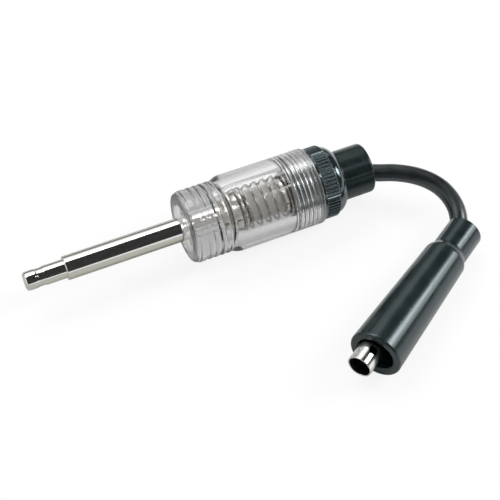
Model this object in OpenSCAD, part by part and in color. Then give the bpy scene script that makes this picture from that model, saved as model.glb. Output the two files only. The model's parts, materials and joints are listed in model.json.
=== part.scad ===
// In-line ignition spark tester. A plated probe rod is clamped in a clear ringed housing. Inside it a
// lamp sits in a contact cup, with a coil spring round it. A knurled screw cap holds a rubber gland in
// the housing's end, and a short ignition lead runs from the gland to a plug socket in a loose boot.
// The tester lies along X on its round housing, with the probe towards -X. Millimetres.

/* [Probe] */
// Diameter of the tip, which copies a plug's terminal
tip_d = 6.3; // [5.6:0.1:7]
// Length of the tip
tip_len = 13.5; // [9:0.5:18]
// Rounding of the tip's end
tip_round = 1.2; // [0.4:0.1:2]
// Distance from the tip's end to its snap groove
groove_pos = 3.6; // [3:0.1:6]
// Width of the snap groove
groove_w = 3.2; // [1:0.1:4]
// Depth of the snap groove
groove_depth = 0.2; // [0.1:0.05:0.5]
// Diameter of the bare rod
rod_d = 8; // [7.4:0.1:10]
// Length of the bare rod in front of the housing
rod_len = 40.5; // [25:0.5:60]
// Chamfer at the step between tip and rod
step_chamfer = 0.4; // [0.1:0.1:0.6]
// Diameter of the rod's shank inside the housing's nose
shank_d = 6; // [5.6:0.1:6.8]
// Diameter of the rod's threaded end
stud_d = 5; // [4:0.1:5.4]

/* [Housing] */
// Diameter of the clear housing
housing_d = 26; // [24:0.5:32]
// Length of the clear housing
housing_len = 45.6; // [43:0.2:60]
// Drop in radius from the housing to its ringed nose
nose_step = 0.8; // [0.4:0.1:1.4]
// Length of the plain land at the nose, chamfer included
nose_land = 4.3; // [2.5:0.1:5]
// Length of the chamfer at the front face
nose_chamfer = 1.75; // [0.5:0.05:2.2]
// Depth of the chamfer at the front face
nose_drop = 0.8; // [0.3:0.1:1.2]
// Number of rings round the nose
ring_count = 4; // [2:1:5]
// Distance from ring to ring
ring_pitch = 2.15; // [1.6:0.05:2.4]
// Depth of the grooves between the rings
ring_depth = 0.3; // [0.15:0.05:0.5]
// Length of the shoulder behind the rings
shoulder_len = 2.6; // [1.2:0.1:4]
// Diameter of the round recess in the front face
recess_d = 16; // [12:0.5:19]
// Depth of the recess in the front face
recess_depth = 2; // [1:0.1:3]
// Thickness of the nose between recess and lamp chamber, with the well for the rod's nut in it
nose_wall = 13.8; // [10:0.1:15]
// Wall of the housing outside its thread
housing_wall = 1.05; // [0.8:0.05:1.3]
// Chamfer at the housing's open rim
rim_chamfer = 0.35; // [0.1:0.05:0.6]

/* [Screw cap] */
// Pitch of the cap's thread
thread_pitch = 1.5; // [1:0.1:1.8]
// Depth of the cap's thread
thread_depth = 0.7; // [0.4:0.05:0.8]
// Length of the threaded end of the housing
thread_len = 9.6; // [8.5:0.1:11]
// Wall of the cap's spigot under its thread
spigot_wall = 0.75; // [0.6:0.05:1]
// Length of the cap's head
cap_len = 9.5; // [8:0.1:13]
// How far the cap's collar lies below the housing's surface
cap_inset = 0.6; // [0.2:0.1:1]
// Length of the plain collar next to the housing
collar_len = 0.7; // [0.4:0.1:1.2]
// Length of the knurled band
knurl_len = 5; // [3:0.1:6]
// Number of ribs round the knurled band
knurl_count = 60; // [40:1:72]
// Height of the ribs
knurl_depth = 0.45; // [0.2:0.05:0.6]
// Width of the cap's flat end around the gland
cap_lip = 0.35; // [0.2:0.05:0.8]
// Section of the sealing ring
seal_d = 1; // [0.8:0.05:1.1]

/* [Gland] */
// Length of the gland behind the housing's rim
gland_out = 20.4; // [17:0.2:26]
// Length of the gland's flange
flange_len = 7; // [6.5:0.1:8]
// Step from the gland's flange to its body
flange_step = 0.75; // [0.5:0.05:1.2]
// Wall of the flange round the spring's end
pocket_wall = 1.45; // [1:0.05:1.8]
// Depth of the pocket that holds the contact disc
pocket_depth = 6; // [5.4:0.1:6.8]
// Thickness of rubber between contact disc and lead
gland_web = 4; // [2.5:0.1:5]
// Length of the bore that grips the lead
grip_len = 7; // [4:0.5:9]
// Rounding of the gland's free end
gland_round = 2; // [0.5:0.1:2.4]
// Flat rim round the bell at the gland's free end
gland_rim = 0.55; // [0.4:0.05:0.6]
// Thickness of the thrust washer under the cap
thrust_t = 1.2; // [0.8:0.1:1.6]

/* [Lamp and spring] */
// Wire diameter of the spring
wire_d = 0.8; // [0.6:0.05:0.9]
// Pitch of the close turns at both ends of the spring
close_pitch = 1.4; // [1.35:0.05:1.6]
// Number of close turns at the lamp's front
front_turns = 1; // [1:1:2]
// Number of open turns
open_turns = 5; // [3:1:6]
// Number of close turns at the gland
back_turns = 3; // [1:1:4]
// Width of the housing's step that the gland seats on
seat_w = 1.2; // [0.8:0.05:1.3]
// Thickness of the washer under the rod's nut
washer_t = 0.8; // [0.5:0.1:1.2]
// Diameter of the washer under the rod's nut
washer_d = 11; // [9.5:0.1:12]
// Width of the rod's nut across its flats
nut_af = 8; // [7.5:0.1:9]
// Thickness of the rod's nut
nut_t = 2.6; // [2:0.1:3.2]
// Thickness of the contact cup's flange
cup_t = 1; // [0.6:0.1:1.4]
// Depth of the contact cup
cup_depth = 3.2; // [2:0.1:4]
// Wall of the contact cup
cup_wall = 0.35; // [0.25:0.05:0.5]
// Length of the lamp's metal caps
ferrule_len = 4.5; // [3.5:0.1:5]
// Wall of the lamp's metal caps
ferrule_wall = 0.35; // [0.25:0.05:0.5]
// Thickness of the end of each metal cap
ferrule_end = 0.8; // [0.5:0.1:1]
// Length of the contact nib on the lamp's back cap
nib_len = 1.5; // [0.8:0.1:1.8]
// Diameter of the contact nib
nib_d = 3.4; // [2.4:0.1:4.4]
// Wall of the lamp's glass
glass_wall = 0.6; // [0.4:0.05:1]
// Gap between the lamp's electrodes
spark_gap = 3; // [2:0.1:4]
// Length of the front electrode
electrode_len = 8; // [4:0.1:10]
// Diameter of the electrodes' discs
electrode_d = 6.4; // [4:0.1:7.2]
// Thickness of the electrodes' discs
electrode_t = 1; // [0.6:0.1:1.4]
// Diameter of the electrodes' rods
electrode_rod_d = 1.2; // [0.8:0.1:2]
// Thickness of the contact disc
disc_t = 1.2; // [0.8:0.1:1.4]
// Diameter of the contact screw's head
head_d = 4.6; // [3.6:0.1:6]
// Thickness of the contact screw's head
head_t = 1.8; // [1.4:0.1:2.2]
// Diameter of the contact screw's shank
screw_d = 2.2; // [1.6:0.1:2.6]

/* [Lead] */
// Diameter of the ignition lead
lead_d = 5.9; // [5:0.1:6]
// Diameter of the lead's conductor
core_d = 1.8; // [1.2:0.1:2.4]

/* [Boot] */
// Diameter of the boot at its mouth
mouth_d = 17.6; // [16:0.1:20]
// Diameter of the boot's body at its shoulder
shoulder_d = 14.3; // [13.6:0.1:15.6]
// Length of the boot's body
body_len = 46; // [44:0.5:60]
// Length of the shoulder between body and sleeve
neck_len = 2; // [1:0.1:4]
// Diameter of the sleeve round the lead
sleeve_d = 12; // [11.9:0.1:13]
// Length of the sleeve
sleeve_len = 12; // [10:0.5:16]
// Rounding of the mouth's lip
lip_round = 0.6; // [0.4:0.1:1.1]
// Diameter of the boot's cavity
cavity_d = 12.1; // [11.6:0.1:12.8]
// Depth of the boot's cavity
cavity_len = 40; // [38:0.5:42]
// Length of the sleeve's bell, where the lead can bend
bell_len = 8; // [7.5:0.1:10]
// Thickness of the sleeve's rim
rim_t = 0.5; // [0.4:0.05:0.6]

/* [Socket] */
// Bore of the socket
socket_id = 7.2; // [6.8:0.1:7.6]
// Wall of the socket
socket_wall = 0.45; // [0.35:0.05:0.6]
// Depth of the socket
socket_len = 15; // [12:0.5:17]
// How far the socket stands out of the boot
socket_out = 7; // [5:0.5:9]
// Thickness of the socket's bottom
socket_end = 1; // [0.6:0.1:1.5]
// Diameter of the hole in the socket's side
side_hole_d = 3; // [2:0.1:3.4]
// Distance from the socket's end to its side hole
side_hole_pos = 5.4; // [4:0.1:7]
// Length of the socket's tail in the crimp
tail_len = 4; // [3:0.1:5]
// Wall of the crimp ferrule
crimp_wall = 0.5; // [0.35:0.05:0.7]
// Length of lead held in the crimp
crimp_grip = 3.5; // [2:0.5:4]

/* [Clearances] */
// Gap between pieces that are pushed together
fit = 0.05; // [0.03:0.01:0.1]
// Gap between pieces that move past each other
clear = 0.3; // [0.2:0.05:0.35]
// Gap left under the tightened cap
cap_gap = 0.1; // [0.05:0.05:0.2]
// Room round the spring
spring_clear = 0.35; // [0.3:0.05:0.4]

/* [Hidden] */
$fn = 64;

chrome = "#c8cbcf";
nickel = "#b9b5aa";
brass = "#b59a5a";
smoked = "#a59f92";
black_plastic = "#2b3032";
black_rubber = "#232728";

// Stations along the tester's axis, the whole length centred on the origin
axis_z = housing_d / 2;
total_len = tip_len + rod_len + housing_len + gland_out;
tip_x = -total_len / 2;
step_x = tip_x + tip_len;
face_x = step_x + rod_len;
recess_x = face_x + recess_depth;
chamber_x = recess_x + nose_wall;
rim_x = face_x + housing_len;
seat_x = rim_x - thread_len;
gland_x = rim_x + gland_out;
well_x = chamber_x - washer_t - nut_t;
nut_x = well_x + washer_t;
cup_face_x = chamber_x + cup_t;
disc_back_x = seat_x + pocket_depth;
disc_x = disc_back_x - disc_t;
head_x = disc_x - head_t;
back_cap_x = head_x - nib_len;
lead_x = disc_back_x + gland_web;
bell_x = lead_x + grip_len;
flange_x = seat_x + flange_len;
cap_x = rim_x + cap_gap;
cap_end_x = cap_x + cap_len;

// Radii from the housing's skin inwards
housing_r = housing_d / 2;
nose_r = housing_r - nose_step;
groove_r = housing_r - housing_wall;
bore_r = groove_r - thread_depth;
crest_r = bore_r - clear;
root_r = crest_r - thread_depth;
counterbore_r = root_r - spigot_wall;
flange_r = counterbore_r - clear;
gland_r = flange_r - flange_step;
cap_bore_r = gland_r + clear;
chamber_r = flange_r - seat_w;
pocket_r = flange_r - pocket_wall;
spring_out_r = min(pocket_r, chamber_r) - spring_clear;
spring_r = spring_out_r - wire_d / 2;
cup_r = spring_r - wire_d / 2 - clear;
ferrule_r = cup_r - cup_wall - fit;
ferrule_in_r = ferrule_r - ferrule_wall;
glass_r = ferrule_in_r - fit;
well_r = washer_d / 2 + clear;
lead_r = lead_d / 2;
grip_r = lead_r + 2 * fit;
bell_r = gland_r - gland_round - gland_rim;
bell_room = bell_r - lead_r;
core_bore_r = core_d / 2 + 2 * fit;

// Thread rings, counted from the housing's rim
thread_land = 0.25;
thread_rings = floor((thread_len - 2 * thread_land) / thread_pitch);
thread_x = rim_x - thread_land - thread_rings * thread_pitch;

// Sealing ring and its groove in the cap
seal_mid_r = bore_r - 2 * cap_gap - seal_d / 2;
seal_root_r = seal_mid_r - seal_d / 2 - fit;
seal_x = rim_x - cap_gap - seal_d / 2;

// Frame of the boot: s runs from its mouth to its sleeve, then left and up
boot_yaw = 33.4;
boot_len = body_len + neck_len + sleeve_len;
boot_pitch = atan((mouth_d - shoulder_d) / 2 / body_len);
sleeve_place = [20.3, -33.7];
mouth_r = mouth_d / 2;
boot_axis = [cos(boot_pitch) * cos(boot_yaw), cos(boot_pitch) * sin(boot_yaw), -sin(boot_pitch)];
boot_left = [-sin(boot_yaw), cos(boot_yaw), 0];
boot_up = cross(boot_axis, boot_left);
mouth_place = [
    gland_x + sleeve_place[0] - boot_len * boot_axis[0],
    sleeve_place[1] - boot_len * boot_axis[1],
    mouth_r * cos(boot_pitch) + lip_round * sin(boot_pitch)
];
function boot_point(s, left, up) = mouth_place + s * boot_axis + left * boot_left + up * boot_up;

// The socket leans on the cavity's wall, up and to the left
socket_r = socket_id / 2 + socket_wall;
lean = cavity_d / 2 - socket_r - clear;
lean_angle = 28;
lean_left = lean * cos(lean_angle);
lean_up = lean * sin(lean_angle);
side_hole_turn = 23;
socket_bottom_s = socket_len - socket_out;
tail_s = socket_bottom_s + socket_end;
tail_end_s = tail_s + tail_len;
lead_end_s = tail_end_s + 4 * fit;
crimp_s = tail_s + tail_len / 4;
crimp_end_s = lead_end_s + crimp_grip;
core_end_s = tail_s + tail_len / 2;

// Route of the lead: points from the gland's end, then a turn into the sleeve and the run in the boot.
// In the gland it swings out by these shares of the bell's room
gland_run = [[-9, -0.065, -0.03], [-4.5, -0.29, -0.13], [0, -0.68, -0.29]];
free_run = [
    [4, -3.5, 11.9], [7.8, -4.9, 11.7], [11.6, -6.9, 11.5], [15.1, -9.4, 11.2], [18.1, -12.5, 10.8],
    [20.4, -16.2, 10.2], [21.6, -20.2, 9.4], [21.8, -24.1, 8.6], [21.2, -27.4, 7.8], [20.1, -30.2, 6.9]
];
turn_r = 11.8;
turn_angle = 33;
turn_s = boot_len - turn_r * sin(turn_angle);
settle_s = 31;
straight_runs = 4;
settle_steps = 6;
function ease(t) = t * t * (3 - 2 * t);
lead_route = concat(
    [[lead_x, 0, axis_z], [(lead_x + bell_x) / 2, 0, axis_z], [bell_x, 0, axis_z]],
    [for (p = gland_run) [gland_x + p[0], p[1] * bell_room, axis_z + p[2] * bell_room]],
    [for (p = free_run) [gland_x + p[0], p[1], p[2]]],
    [for (i = [3:-1:0]) let (a = turn_angle * i / 3)
        boot_point(turn_s + turn_r * sin(a), turn_r * (1 - cos(a)), 0)],
    [for (i = [1:straight_runs]) boot_point(turn_s + (settle_s - turn_s) * i / straight_runs, 0, 0)],
    [for (i = [1:settle_steps]) let (t = i / settle_steps, k = ease(t))
        boot_point(settle_s + (crimp_end_s - settle_s) * t, lean_left * k, lean_up * k)],
    [boot_point(lead_end_s, lean_left, lean_up)]
);
core_route = concat(lead_route, [boot_point(core_end_s + 2 * fit, lean_left, lean_up)]);

// Path of the spring: a straight stub, a bend, close and open turns, a bend and a straight stub
coil_steps = 12;
coil_turns = front_turns + open_turns + back_turns;
coil_x = cup_face_x + 2 * wire_d;
coil_len = disc_x - cup_face_x - 4 * wire_d;
open_pitch = (coil_len - close_pitch * (front_turns + back_turns)) / open_turns;
bend_turn = wire_d / spring_r * 180 / PI;
function coil_rise(u) = close_pitch * min(u, front_turns)
    + open_pitch * max(0, min(u - front_turns, open_turns))
    + close_pitch * max(0, u - front_turns - open_turns);
coil_end_turn = 2 * bend_turn + 360 * coil_turns;
coil_way = concat(
    [[cup_face_x, 0], [cup_face_x + wire_d, 0]],
    [for (b = [30, 60]) [cup_face_x + wire_d * (1 + sin(b)), bend_turn * (1 - cos(b))]],
    [for (i = [0:coil_turns * coil_steps]) let (u = i / coil_steps)
        [coil_x + coil_rise(u), bend_turn + 360 * u]],
    [for (b = [60, 30]) [disc_x - wire_d * (1 + sin(b)), coil_end_turn - bend_turn * (1 - cos(b))]],
    [[disc_x - wire_d, coil_end_turn], [disc_x, coil_end_turn]]
);
coil_route = [for (w = coil_way) [w[0], spring_r * cos(w[1]), axis_z + spring_r * sin(w[1])]];
coil_out = [for (w = coil_way) [0, cos(w[1]), sin(w[1])]];
coil_gap = min([for (i = [0:len(coil_route) - 7]) for (j = [i + 6:len(coil_route) - 1])
    norm(coil_route[i] - coil_route[j])]) - wire_d;
echo(str("coil_spring: least gap to itself ", coil_gap, " mm"));

// Direction of travel at each point of a route
function unit(v) = v / norm(v);
function heading(route, i) = unit(route[min(i + 1, len(route) - 1)] - route[max(i - 1, 0)]);
// A ring of points round a route, first side along out, turning the right way round the heading
function ring(centre, way, out, r, sides) = [for (i = [0:sides - 1]) let (a = 360 * i / sides)
    centre + r * (cos(a) * out + sin(a) * cross(way, out))];
function level_out(way) = unit(cross(way, [0, 0, 1]));

// A solid swept tube: one ring for each point of the route, closed by flat ends
module swept_rod(route, outs, r, sides) {
    count = len(route);
    last = (count - 1) * sides;
    points = [for (i = [0:count - 1]) each ring(route[i], heading(route, i), outs[i], r, sides)];
    walls = [for (i = [0:count - 2]) for (j = [0:sides - 1])
        let (a = i * sides + j, b = i * sides + (j + 1) % sides)
        each [[a, b + sides, b], [a, a + sides, b + sides]]];
    ends = [for (j = [1:sides - 2]) each [[0, j, j + 1], [last, last + j + 1, last + j]]];
    polyhedron(points, concat(walls, ends));
}

// A hollow swept tube, with the same number of sides inside and outside
module swept_hose(route, outs, r, bore, sides) {
    count = len(route);
    inner = count * sides;
    last = (count - 1) * sides;
    outside = [for (i = [0:count - 1]) each ring(route[i], heading(route, i), outs[i], r, sides)];
    inside = [for (i = [0:count - 1]) each ring(route[i], heading(route, i), outs[i], bore, sides)];
    walls = [for (i = [0:count - 2]) for (j = [0:sides - 1])
        let (a = i * sides + j, b = i * sides + (j + 1) % sides)
        each [[a, b + sides, b], [a, a + sides, b + sides],
            [inner + a, inner + b, inner + b + sides], [inner + a, inner + b + sides, inner + a + sides]]];
    ends = [for (j = [0:sides - 1]) let (a = j, b = (j + 1) % sides)
        each [[a, b, inner + b], [a, inner + b, inner + a],
            [last + a, inner + last + b, last + b], [last + a, inner + last + a, inner + last + b]]];
    polyhedron(concat(outside, inside), concat(walls, ends));
}

// A piece turned about the tester's axis, from points of radius and x
module turned(profile) {
    translate([0, 0, axis_z]) rotate([0, 90, 0]) rotate_extrude() polygon(profile);
}

module turned_tube(r, bore, x0, x1) {
    turned([[bore, x0], [r, x0], [r, x1], [bore, x1]]);
}

// A piece turned about a line along the boot, from points of radius and s
module boot_turned(profile, left = 0, up = 0) {
    translate(mouth_place) rotate([0, boot_pitch, boot_yaw]) translate([0, left, up])
        rotate([0, 90, 0]) rotate_extrude() polygon(profile);
}

// Points of a quarter round, from along to across
function quarter(r, s, size, from, to, steps = 5) = [for (i = [0:steps])
    let (a = from + (to - from) * i / steps) [r + size * cos(a), s + size * sin(a)]];

module probe_rod() {
    tip_r = tip_d / 2;
    groove_x = tip_x + groove_pos;
    color(chrome) turned(concat(
        [[0, tip_x]],
        quarter(tip_r - tip_round, tip_x + tip_round, tip_round, -90, 0),
        [[tip_r, groove_x], [tip_r - groove_depth, groove_x + groove_w / 4],
            [tip_r - groove_depth, groove_x + groove_w * 3 / 4], [tip_r, groove_x + groove_w],
            [tip_r, step_x], [rod_d / 2 - step_chamfer, step_x], [rod_d / 2, step_x + step_chamfer],
            [rod_d / 2, recess_x], [shank_d / 2, recess_x], [shank_d / 2, well_x],
            [stud_d / 2, well_x], [stud_d / 2, cup_face_x], [0, cup_face_x]]
    ));
}

module clear_housing() {
    rings_x = face_x + nose_land;
    rings_end_x = rings_x + ring_count * ring_pitch;
    valley_r = nose_r - ring_depth;
    color([0.86, 0.9, 0.92, 0.4]) turned(concat(
        [[recess_d / 2, recess_x], [recess_d / 2, face_x], [nose_r - nose_drop, face_x],
            [nose_r, face_x + nose_chamfer], [nose_r, rings_x - ring_pitch * 0.3]],
        [for (i = [0:ring_count - 1]) each [[valley_r, rings_x + ring_pitch * i],
            [nose_r, rings_x + ring_pitch * (i + 0.3)], [nose_r, rings_x + ring_pitch * (i + 0.7)]]],
        [[valley_r, rings_end_x], [nose_r, rings_end_x + ring_pitch * 0.3],
            [housing_r, rings_end_x + shoulder_len], [housing_r, rim_x - rim_chamfer],
            [housing_r - rim_chamfer, rim_x], [bore_r, rim_x]],
        [for (i = [thread_rings:-1:1]) each [[bore_r, thread_x + thread_pitch * i],
            [groove_r, thread_x + thread_pitch * (i - 0.5)]]],
        [[bore_r, thread_x], [bore_r, seat_x], [chamber_r, seat_x], [chamber_r, chamber_x],
            [well_r, chamber_x], [well_r, well_x], [shank_d / 2 + fit, well_x],
            [shank_d / 2 + fit, recess_x]]
    ));
}

module rod_washer() {
    color(nickel) turned_tube(washer_d / 2, stud_d / 2 + fit, well_x, nut_x);
}

module rod_nut() {
    color(nickel) translate([nut_x, 0, axis_z]) rotate([0, 90, 0]) difference() {
        cylinder(r = nut_af / 2 / cos(30), h = nut_t, $fn = 6);
        translate([0, 0, -1]) cylinder(r = stud_d / 2 + fit, h = nut_t + 2);
    }
}

module contact_cup() {
    cup_end_x = cup_face_x + cup_depth;
    color(nickel) turned([
        [stud_d / 2 + fit, chamber_x], [spring_out_r, chamber_x], [spring_out_r, cup_face_x],
        [cup_r, cup_face_x], [cup_r, cup_end_x], [cup_r - cup_wall, cup_end_x],
        [cup_r - cup_wall, cup_face_x], [stud_d / 2 + fit, cup_face_x]
    ]);
}

module lamp_front_cap() {
    cap_back_x = cup_face_x + ferrule_len;
    color(nickel) turned([
        [0, cup_face_x], [ferrule_r, cup_face_x], [ferrule_r, cap_back_x], [ferrule_in_r, cap_back_x],
        [ferrule_in_r, cup_face_x + ferrule_end], [0, cup_face_x + ferrule_end]
    ]);
}

module lamp_glass() {
    color(smoked) turned_tube(glass_r, glass_r - glass_wall,
        cup_face_x + ferrule_end, back_cap_x - ferrule_end);
}

module lamp_back_cap() {
    cap_front_x = back_cap_x - ferrule_len;
    color(nickel) turned([
        [0, back_cap_x - ferrule_end], [ferrule_in_r, back_cap_x - ferrule_end],
        [ferrule_in_r, cap_front_x], [ferrule_r, cap_front_x], [ferrule_r, back_cap_x],
        [nib_d / 2, back_cap_x], [nib_d / 2, head_x], [0, head_x]
    ]);
}

// The front electrode keeps its length, and the back one reaches to the spark gap
front_root_x = cup_face_x + ferrule_end;
front_face_x = front_root_x + electrode_len;

module electrode(root_x, face, side) {
    back = face + side * electrode_t;
    color(chrome) turned([
        [0, root_x], [electrode_rod_d / 2, root_x], [electrode_rod_d / 2, back],
        [electrode_d / 2, back], [electrode_d / 2, face], [0, face]
    ]);
}

module front_electrode() {
    electrode(front_root_x, front_face_x, -1);
}

module back_electrode() {
    electrode(back_cap_x - ferrule_end, front_face_x + spark_gap, 1);
}

module coil_spring() {
    color(chrome) swept_rod(coil_route, coil_out, wire_d / 2, 6);
}

module contact_disc() {
    color(brass) turned_tube(spring_out_r, screw_d / 2 + fit, disc_x, disc_back_x);
}

module contact_screw() {
    slot_w = head_d / 6;
    slot_depth = head_t / 3;
    color(brass) difference() {
        turned([[0, head_x], [head_d / 2, head_x], [head_d / 2, disc_x], [screw_d / 2, disc_x],
            [screw_d / 2, lead_x], [0, lead_x]]);
        translate([head_x - slot_depth, -slot_w / 2, axis_z - head_d])
            cube([2 * slot_depth, slot_w, 2 * head_d]);
    }
}

module gland() {
    bell_steps = 6;
    color(black_rubber) turned(concat(
        [[pocket_r, disc_back_x], [pocket_r, seat_x], [flange_r, seat_x], [flange_r, flange_x],
            [gland_r, flange_x]],
        quarter(gland_r - gland_round, gland_x - gland_round, gland_round, 0, 90),
        [for (i = [bell_steps:-1:0]) let (t = i / bell_steps)
            [grip_r + (bell_r - grip_r) * pow(t, 1.6), bell_x + (gland_x - bell_x) * t]],
        [[grip_r, lead_x], [screw_d / 2 + fit, lead_x], [screw_d / 2 + fit, disc_back_x]]
    ));
}

module thrust_washer() {
    color(nickel) turned_tube(flange_r + clear / 3, gland_r + clear / 3, flange_x, flange_x + thrust_t);
}

// Outline of the knurled band: a flat-topped rib, then a valley
function rib_point(r, turn) = [r * cos(turn), r * sin(turn)];

module screw_cap() {
    collar_r = housing_r - cap_inset;
    rib_r = collar_r - cap_gap;
    valley_r = rib_r - knurl_depth;
    dome_r = valley_r - clear;
    knurl_end_x = cap_x + collar_len + knurl_len;
    seat_end_x = flange_x + thrust_t + cap_gap;
    seal_front_x = seal_x - seal_d / 2 - cap_gap;
    rib_turn = 360 / knurl_count;
    dome_steps = 6;
    dome_bend = 2.2;
    color(black_plastic) union() {
        turned(concat(
            [[counterbore_r, seat_end_x], [counterbore_r, seat_x + clear], [root_r, seat_x + clear]],
            [for (i = [1:thread_rings - 2]) each [[root_r, thread_x + thread_pitch * i],
                [crest_r, thread_x + thread_pitch * (i + 0.5)]]],
            [[root_r, thread_x + thread_pitch * (thread_rings - 1)], [root_r, seal_front_x],
                [seal_root_r, seal_front_x], [seal_root_r, rim_x], [collar_r, cap_x],
                [collar_r, cap_x + collar_len], [dome_r, cap_x + collar_len]],
            [for (i = [0:dome_steps]) let (t = i / dome_steps)
                [dome_r + (cap_bore_r + cap_lip - dome_r) * pow(t, dome_bend),
                    knurl_end_x + (cap_end_x - knurl_end_x) * t]],
            [[cap_bore_r, cap_end_x], [cap_bore_r, seat_end_x]]
        ));
        translate([cap_x + collar_len / 2, 0, axis_z]) rotate([0, 90, 0])
            linear_extrude(knurl_len + collar_len / 2) difference() {
                polygon([for (i = [0:knurl_count - 1]) each [
                    rib_point(valley_r, rib_turn * i), rib_point(rib_r, rib_turn * (i + 0.2)),
                    rib_point(rib_r, rib_turn * (i + 0.5)), rib_point(valley_r, rib_turn * (i + 0.7))]]);
                circle(r = dome_r - clear);
            }
    }
}

module sealing_ring() {
    color(black_rubber) translate([seal_x, 0, axis_z]) rotate([0, 90, 0])
        rotate_extrude() translate([seal_mid_r, 0]) circle(r = seal_d / 2);
}

module lead_jacket() {
    outs = [for (i = [0:len(lead_route) - 1]) level_out(heading(lead_route, i))];
    color(black_rubber) swept_hose(lead_route, outs, lead_r, core_bore_r, 10);
}

module lead_core() {
    outs = [for (i = [0:len(core_route) - 1]) level_out(heading(core_route, i))];
    color(brass) swept_rod(core_route, outs, core_d / 2, 8);
}

module boot() {
    shoulder_r = shoulder_d / 2;
    sleeve_r = sleeve_d / 2;
    cavity_r = cavity_d / 2;
    neck_r = lead_r + clear;
    sleeve_s = body_len + neck_len;
    bell_s = boot_len - bell_len;
    bell_r = sleeve_r - rim_t;
    bell_steps = 6;
    color(black_rubber) boot_turned(concat(
        [[cavity_r, lip_round / 2], [cavity_r + lip_round / 2, 0]],
        quarter(mouth_r - lip_round, lip_round, lip_round, -90, 0),
        [[shoulder_r, body_len], [sleeve_r, sleeve_s], [sleeve_r, boot_len - rim_t / 2],
            [sleeve_r - rim_t / 2, boot_len]],
        [for (i = [bell_steps:-1:0]) let (t = i / bell_steps)
            [neck_r + (bell_r - neck_r) * pow(t, 1.6), bell_s + bell_len * t]],
        [[neck_r, cavity_len + cavity_r - neck_r], [cavity_r, cavity_len]]
    ));
}

module socket() {
    bore = socket_id / 2;
    tail_r = lead_r;
    color(chrome) difference() {
        boot_turned([
            [bore, -socket_out], [socket_r, -socket_out], [socket_r, tail_s], [tail_r, tail_s],
            [tail_r, tail_end_s], [core_bore_r, tail_end_s], [core_bore_r, core_end_s],
            [0, core_end_s], [0, socket_bottom_s], [bore, socket_bottom_s]
        ], lean_left, lean_up);
        translate(boot_point(side_hole_pos - socket_out, lean_left, lean_up))
            rotate([0, boot_pitch, boot_yaw]) rotate([side_hole_turn, 0, 0])
                cylinder(d = side_hole_d, h = socket_r + 1);
    }
}

module crimp_ferrule() {
    bore = lead_r + 2 * fit;
    color(nickel) boot_turned([
        [bore, crimp_s], [bore + crimp_wall, crimp_s], [bore + crimp_wall, crimp_end_s],
        [bore, crimp_end_s]
    ], lean_left, lean_up);
}

probe_rod();
clear_housing();
rod_washer();
rod_nut();
contact_cup();
lamp_front_cap();
lamp_glass();
lamp_back_cap();
front_electrode();
back_electrode();
coil_spring();
contact_disc();
contact_screw();
gland();
thrust_washer();
screw_cap();
sealing_ring();
lead_jacket();
lead_core();
boot();
socket();
crimp_ferrule();
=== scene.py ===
import json
import math

import bmesh
import bpy
import numpy as np
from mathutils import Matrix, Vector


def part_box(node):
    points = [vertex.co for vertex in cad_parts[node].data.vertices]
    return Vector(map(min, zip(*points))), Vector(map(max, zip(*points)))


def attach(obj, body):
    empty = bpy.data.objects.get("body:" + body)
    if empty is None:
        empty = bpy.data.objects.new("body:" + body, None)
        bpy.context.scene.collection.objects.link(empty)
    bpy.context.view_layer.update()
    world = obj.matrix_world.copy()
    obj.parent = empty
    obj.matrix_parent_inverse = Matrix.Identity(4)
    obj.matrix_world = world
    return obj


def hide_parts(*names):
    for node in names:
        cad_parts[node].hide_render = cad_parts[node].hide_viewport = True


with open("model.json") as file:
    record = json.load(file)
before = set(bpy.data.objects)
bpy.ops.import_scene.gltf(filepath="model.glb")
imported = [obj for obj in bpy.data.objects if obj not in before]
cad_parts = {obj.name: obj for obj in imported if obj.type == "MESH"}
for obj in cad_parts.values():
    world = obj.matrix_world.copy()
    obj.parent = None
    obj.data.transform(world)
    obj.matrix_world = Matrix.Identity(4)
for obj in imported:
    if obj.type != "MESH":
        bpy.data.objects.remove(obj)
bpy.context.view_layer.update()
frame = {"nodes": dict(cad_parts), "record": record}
scene = bpy.context.scene
mm = 0.001
print("frame loaded")


def cadSpan(node, axis):
    # lowest and highest place of a CAD node along an axis, in mm
    low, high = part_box(node)
    return low[axis] / mm, high[axis] / mm


# places along the tester that every piece is worked out from
faceX, rimX = cadSpan("clear_housing", 0)
housingLow, housingHigh = cadSpan("clear_housing", 2)
axisZ, housingR = (housingLow + housingHigh) / 2, (housingHigh - housingLow) / 2
tipX, rodEndX = cadSpan("probe_rod", 0)
seatX, glandX = cadSpan("gland", 0)
chamberX = cadSpan("contact_cup", 0)[0]
wellX = cadSpan("rod_washer", 0)[0]
discX, discBackX = cadSpan("contact_disc", 0)
leadX = cadSpan("contact_screw", 0)[1]
recessDepth = 2.0
recessX = faceX + recessDepth  # bottom of the recess in the front face, where the rod gets thinner

# reaches of the rounds on edges, in mm
hair, fine, thin, small, edge, soft, full = 0.05, 0.1, 0.15, 0.2, 0.3, 0.4, 0.5

# frame of the boot: s from its mouth to its sleeve, left and up
bootPlan = {"yaw": 33.4, "sleeveX": 20.3, "sleeveY": -33.7, "length": 60.0, "mouthR": 8.8, "lipRound": 0.6}
socketMount = next(m for m in frame["record"]["mounts"] if m["name"] == "lead_socket")
bootAxis = -np.array(socketMount["axis"])
bootAxis = bootAxis / np.linalg.norm(bootAxis)
bootYaw = math.radians(bootPlan["yaw"])
bootLeft = np.array([-math.sin(bootYaw), math.cos(bootYaw), 0.0])
bootUp = np.cross(bootAxis, bootLeft)
sleeveEnd = np.array([glandX + bootPlan["sleeveX"], bootPlan["sleeveY"], 0.0])
mouthPlace = sleeveEnd - bootPlan["length"] * bootAxis
mouthPlace[2] = bootPlan["mouthR"] * bootUp[2] - bootPlan["lipRound"] * bootAxis[2]


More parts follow.
